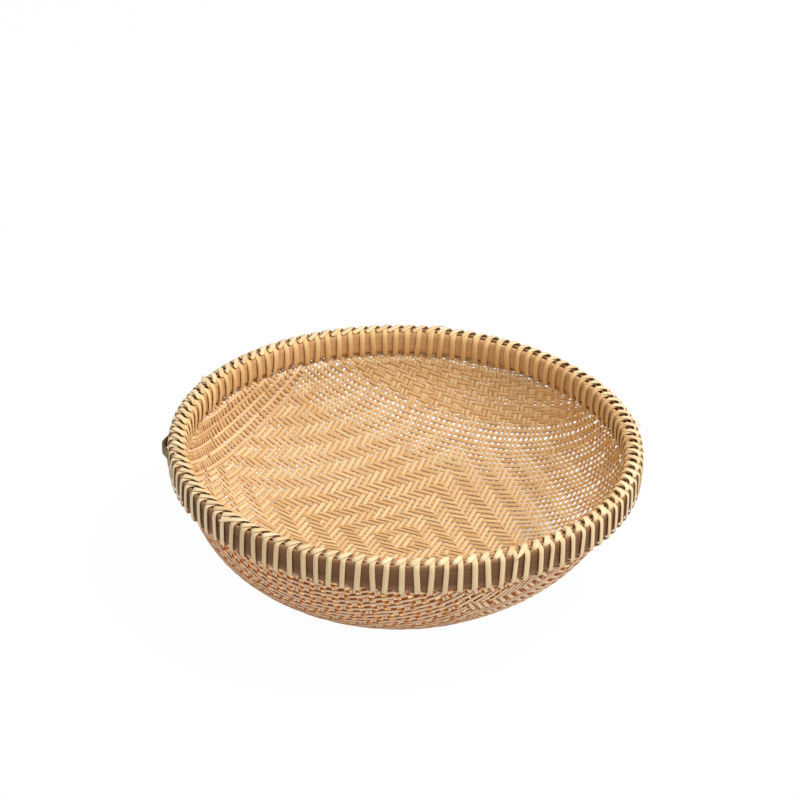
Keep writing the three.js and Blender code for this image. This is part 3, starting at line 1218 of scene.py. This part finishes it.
@dataclass
class RimLashing:
    """The cream strip wound round the rim, with the broad leaf of each turn lying over the top."""

    first_turn: int = 3
    turn_offset: float = 0.5
    width: float = 2.6 * MM
    thickness: float = 0.55 * MM
    corners: int = 8
    seed: int = 41
    # Strands, with radii and heights in mm
    inner_breadth: float = 1.12
    inner_edge: tuple[float, float] = (107.5, 111.5)
    lean_heights: tuple[float, float] = (72.0, 60.0)
    crest_radius: float = 110.6
    outer_lean: float = 0.26
    inner_lean: float = 0.34
    strand_spread: float = 0.16
    strand_width_spread: float = 0.2
    # Leaves, which end otherwise at the back and at the front
    tip_drift_turns: tuple[float, float] = (17, 30)
    tip_settle_turns: tuple[float, float] = (62, 78)
    front_end_turns: tuple[float, float] = (98, 112)
    bluntness: float = 0.85
    drift_spread: float = 0.5
    leaf_spread: float = 0.05
    leaf_width_spread: float = 0.1
    leaf_depth: float = 0.75
    # Loose ends
    tail_spread: float = 0.3
    tail_tone: float = 0.6
    tail_depth: float = 0.6

    def build(self) -> list[Piece]:
        """Makes the lengths of lashing one after the other.

        Returns:
            The pieces of lashing.
        """
        draws = np.random.default_rng(self.seed)
        material = LASHING_FINISH.material()
        sweep = StripSweep(self.width, self.thickness, corners=self.corners)
        pieces = []
        for length in range(LASHING_LENGTHS):
            start = self.first_turn + length * TURNS_PER_LENGTH
            paths = [self._strand(start, draws), self._tail(start, draws)]
            for turn in range(start, start + TURNS_PER_LENGTH):
                paths.append(self._leaf(turn, draws))
            piece = sweep.draw(f"lashing_{length + 1}", paths, material)
            seat(piece, f"rim_lashing_{length + 1}")
            pieces.append(piece)
        return pieces

    def _strand(self, start: int, draws: np.random.Generator) -> StripPath:
        """One length: up the outside, over the top, down the inside and through below the hoops.

        Args:
            start: Number of its first turn.
            draws: Source of the small differences between turns.

        Returns:
            The strand.
        """
        rows = np.array(STRAND_ROWS)
        radius, _, height = rows.T
        top, foot = self.lean_heights
        low_share = np.clip((top - height) / (top - foot), 0, 1)
        outside = radius > self.crest_radius
        tables = []
        widths = []
        for turn in range(start, start + TURNS_PER_LENGTH):
            widths.append(np.full(len(rows), 1 + jitter(draws, self.strand_width_spread)))
            lean_out, lean_in, shift = draws.random(3) - 0.5
            lean = np.where(outside, self.outer_lean * lean_out, self.inner_lean * lean_in)
            table = rows.copy()
            table[:, 1] += turn + self.turn_offset + self.strand_spread * shift + lean * low_share
            tables.append(table)
        radius, turns, height = np.concatenate(tables).T
        angles = turns * TURN_ANGLE
        points = polar_points(radius * MM, angles, height * MM)
        hoop_way = polar_points(1.0, angles + math.pi / 2, 0.0)
        facing = unit_rows(np.cross(hoop_way, unit_rows(np.gradient(points, axis=0))))
        outer_share = smooth_step(radius, *self.inner_edge)
        breadth = self.inner_breadth + (1 - self.inner_breadth) * outer_share
        breadth = breadth * np.concatenate(widths)
        return StripPath(points, facing, breadth=breadth, tone=float(draws.random()))

    def _tail(self, start: int, draws: np.random.Generator) -> StripPath:
        """The loose end of one length, which sticks out over the outer hoop.

        Args:
            start: Number of the length's first turn.
            draws: Source of the small differences between ends.

        Returns:
            The end.
        """
        radius, turns, height, outwards, upwards, breadth = np.array(TAIL_ROWS).T
        angles = (turns + start + self.turn_offset + jitter(draws, self.tail_spread)) * TURN_ANGLE
        return StripPath(
            points=polar_points(radius * MM, angles, height * MM),
            facing=unit_rows(polar_points(outwards, angles, upwards)),
            breadth=breadth,
            depth=self.tail_depth,
            tone=self.tail_tone,
        )

    def _leaf(self, turn: int, draws: np.random.Generator) -> StripPath:
        """The broad part of one turn, from its tip beside the outer hoop to the inside.

        Args:
            turn: Number of the turn.
            draws: Source of the small differences between turns.

        Returns:
            The leaf.
        """
        rows = np.array(LEAF_ROWS)
        flat_end = np.array(FLAT_END_ROWS)
        settled = smooth_step(turn, *self.tip_settle_turns)
        at_back = smooth_step(turn, *self.tip_drift_turns) - settled
        last = slice(-len(flat_end), None)
        rows[last, FLAT_END_COLUMNS] += at_back * (flat_end - rows[last, FLAT_END_COLUMNS])
        radius, turns, height, outwards, upwards, breadth, drift = rows.T
        turns = turns + drift * at_back * (1 + jitter(draws, self.drift_spread))
        angles = (turns + turn + self.turn_offset + jitter(draws, self.leaf_spread)) * TURN_ANGLE
        blunt = self.bluntness * settled * (1 - smooth_step(turn, *self.front_end_turns))
        return StripPath(
            points=polar_points(radius * MM, angles, height * MM),
            facing=unit_rows(polar_points(outwards, angles, upwards)),
            depth=self.leaf_depth,
            tone=float(draws.random()),
            breadth=(breadth + blunt * drift) * (1 + jitter(draws, self.leaf_width_spread)),
        )


@dataclass
class HangingLoop:
    """A short dark strip on edge, bowed out from the rim, its tails caught under the lashing."""

    node: str = "hanging_loop"
    turn: float = 56.0
    thickness: float = 1 * MM
    width: float = 5.4 * MM
    rim_radius: float = 115 * MM
    tail_radius: float = 114.9 * MM
    stand_off: float = 2.6 * MM
    reach: float = 8.55 * MM
    tail: float = 5 * MM
    corners: int = 12
    squareness: float = 0.4
    steps: int = 60

    def build(self) -> list[Piece]:
        """Makes the loop where its solid lies.

        Returns:
            The loop.
        """
        low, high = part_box(self.node)
        half = self.reach + self.tail
        along = np.linspace(-half, half, self.steps)
        in_bow = np.minimum(np.abs(along) / self.reach, 1)
        radii = self.tail_radius + self.stand_off * np.cos(in_bow * math.pi / 2) ** 2
        angles = self.turn * TURN_ANGLE + along / self.rim_radius
        points = polar_points(radii, angles, (low.z + high.z) / 2)
        path = StripPath(points, polar_points(1.0, angles, 0.0))
        sweep = StripSweep(
            self.width, self.thickness, corners=self.corners, squareness=self.squareness
        )
        piece = sweep.draw("loop_strip", [path], LOOP_FINISH.material())
        seat(piece, self.node)
        return [piece]


@dataclass
class Studio:
    """White floor, soft lamps and the camera."""

    elevation: float = math.radians(30.5)
    distance: float = 1120 * MM
    aim: tuple[float, float, float] = (0.0, 0.0, 75 * MM)
    roll: float = math.radians(1.8)
    focal_pixels: float = 2314.0
    frame_pixels: float = 800.0
    aim_pixels: tuple[float, float] = (406.2, 433.8)
    sensor: float = 36.0
    nearest: float = 0.05
    farthest: float = 50.0
    # The floor, and the painted shadow below the basket that shows through its holes
    floor_half: float = 6.0
    floor_colour: Colour = (0.86, 0.86, 0.87, 1.0)
    white_share: float = 0.97
    shade_colour: Colour = (0.38, 0.33, 0.32, 1.0)
    shade_middle: tuple[float, float, float] = (-4 * MM, 26 * MM, 0.0)
    shade_stretch: tuple[float, float, float] = (0.86, 1.0, 1.0)
    shade_reach: tuple[float, float] = (44 * MM, 82 * MM)
    # Light on the basket
    surround_strength: float = 0.62
    lamp_size: float = 0.7
    lamp_power: float = 14.0
    lamp_place: tuple[float, float, float] = (0.52, -0.15, 1.1)
    lamp_aim: tuple[float, float, float] = (0.0, 0.0, 0.03)

    def build(self) -> None:
        """Sets up everything round the basket."""
        self._camera()
        self._floor()
        self._lamps()
        scene = bpy.context.scene
        scene.view_settings.view_transform = "Standard"

    def _camera(self) -> None:
        """Camera at the photograph's height, distance and framing."""
        data = bpy.data.cameras.new("camera")
        data.sensor_width = self.sensor
        data.lens = self.focal_pixels / self.frame_pixels * self.sensor
        middle = self.frame_pixels / 2
        data.shift_x = (middle - self.aim_pixels[0]) / self.frame_pixels
        data.shift_y = (self.aim_pixels[1] - middle) / self.frame_pixels
        data.clip_start = self.nearest
        data.clip_end = self.farthest
        camera = bpy.data.objects.new("camera", data)
        back = Vector((0.0, -math.cos(self.elevation), math.sin(self.elevation)))
        camera.location = Vector(self.aim) + back * self.distance
        turn = (-back).to_track_quat("-Z", "Y").to_matrix().to_4x4()
        spin = turn @ Matrix.Rotation(self.roll, 4, "Z")
        camera.rotation_mode = "QUATERNION"
        camera.rotation_quaternion = spin.to_quaternion()
        bpy.context.scene.collection.objects.link(camera)
        bpy.context.scene.camera = camera

    def _floor(self) -> None:
        """A wide floor that looks white, keeps a faint cast shadow and shows a painted shadow below
        the basket.
        """
        half = self.floor_half
        corners = [(-half, -half, 0), (half, -half, 0), (half, half, 0), (-half, half, 0)]
        mesh = bpy.data.meshes.new("floor")
        mesh.from_pydata(corners, [], [(0, 1, 2, 3)])
        floor = bpy.data.objects.new("floor", mesh)
        material = bpy.data.materials.new("floor_white")
        material.use_nodes = True
        sketch = NodeSketch(material.node_tree)
        matt = sketch.add("ShaderNodeBsdfDiffuse", {"Color": self.floor_colour}).outputs[0]
        white = sketch.light("ShaderNodeEmission", WHITE)
        # Painted shadow: a dim emission disc below the basket, set back from its middle, seen by the
        # camera through the holes
        painted_shadow = sketch.light("ShaderNodeEmission", self.shade_colour)
        place = sketch.add("ShaderNodeTexCoord").outputs["Object"]
        place = sketch.vectors("SUBTRACT", place, self.shade_middle)
        away = sketch.length(sketch.vectors("MULTIPLY", place, self.shade_stretch))
        open_share = sketch.ramp(away, *self.shade_reach, interpolation_type="SMOOTHSTEP")
        glow = sketch.layered(open_share, painted_shadow, white)
        seen = sketch.layered(self.white_share, matt, glow)
        direct = sketch.any_ray("Is Camera Ray", "Is Glossy Ray", "Is Transmission Ray")
        surface = sketch.layered(direct, matt, seen)
        sketch.add("ShaderNodeOutputMaterial", {"Surface": surface})
        mesh.materials.append(material)
        bpy.context.scene.collection.objects.link(floor)

    def _lamps(self) -> None:
        """A large soft lamp overhead and a white surround."""
        world = bpy.data.worlds.new("surround")
        bpy.context.scene.world = world
        world.use_nodes = True
        sketch = NodeSketch(world.node_tree)
        soft = sketch.light("ShaderNodeBackground", WHITE, self.surround_strength)
        white = sketch.light("ShaderNodeBackground", WHITE)
        direct = sketch.any_ray("Is Camera Ray", "Is Glossy Ray")
        surface = sketch.layered(direct, soft, white)
        sketch.add("ShaderNodeOutputWorld", {"Surface": surface})
        key = bpy.data.lights.new("key_lamp", "AREA")
        key.shape = "DISK"
        key.size = self.lamp_size
        key.energy = self.lamp_power
        lamp = bpy.data.objects.new("key_lamp", key)
        lamp.location = self.lamp_place
        aim = Vector(self.lamp_aim) - Vector(self.lamp_place)
        lamp.rotation_mode = "QUATERNION"
        lamp.rotation_quaternion = aim.to_track_quat("-Z", "Y")
        bpy.context.scene.collection.objects.link(lamp)


def main() -> None:
    """Builds the studio and the basket, and reports each piece."""
    logging.basicConfig(level=logging.INFO, format="%(name)s: %(message)s")
    Studio().build()
    parts = (
        WovenBowl(),
        LappedHoop(
            node="outer_hoop", slot="outer_hoop_bamboo", finish=OUTER_HOOP_FINISH,
            faces_out=True, lap_share=0.31, thickness=2.1 * MM,
        ),
        LappedHoop(
            node="inner_hoop", slot="inner_hoop_bamboo", finish=INNER_HOOP_FINISH,
            faces_out=False, lap_share=0.57, thickness=2.9 * MM, squareness=0.5,
        ),
        RimFiller(),
        RimLashing(),
        HangingLoop(),
    )
    for part in parts:
        for piece in part.build():
            LOG.info("%s: %d faces", piece.name, len(piece.data.polygons))


if __name__ == "__main__":
    main()
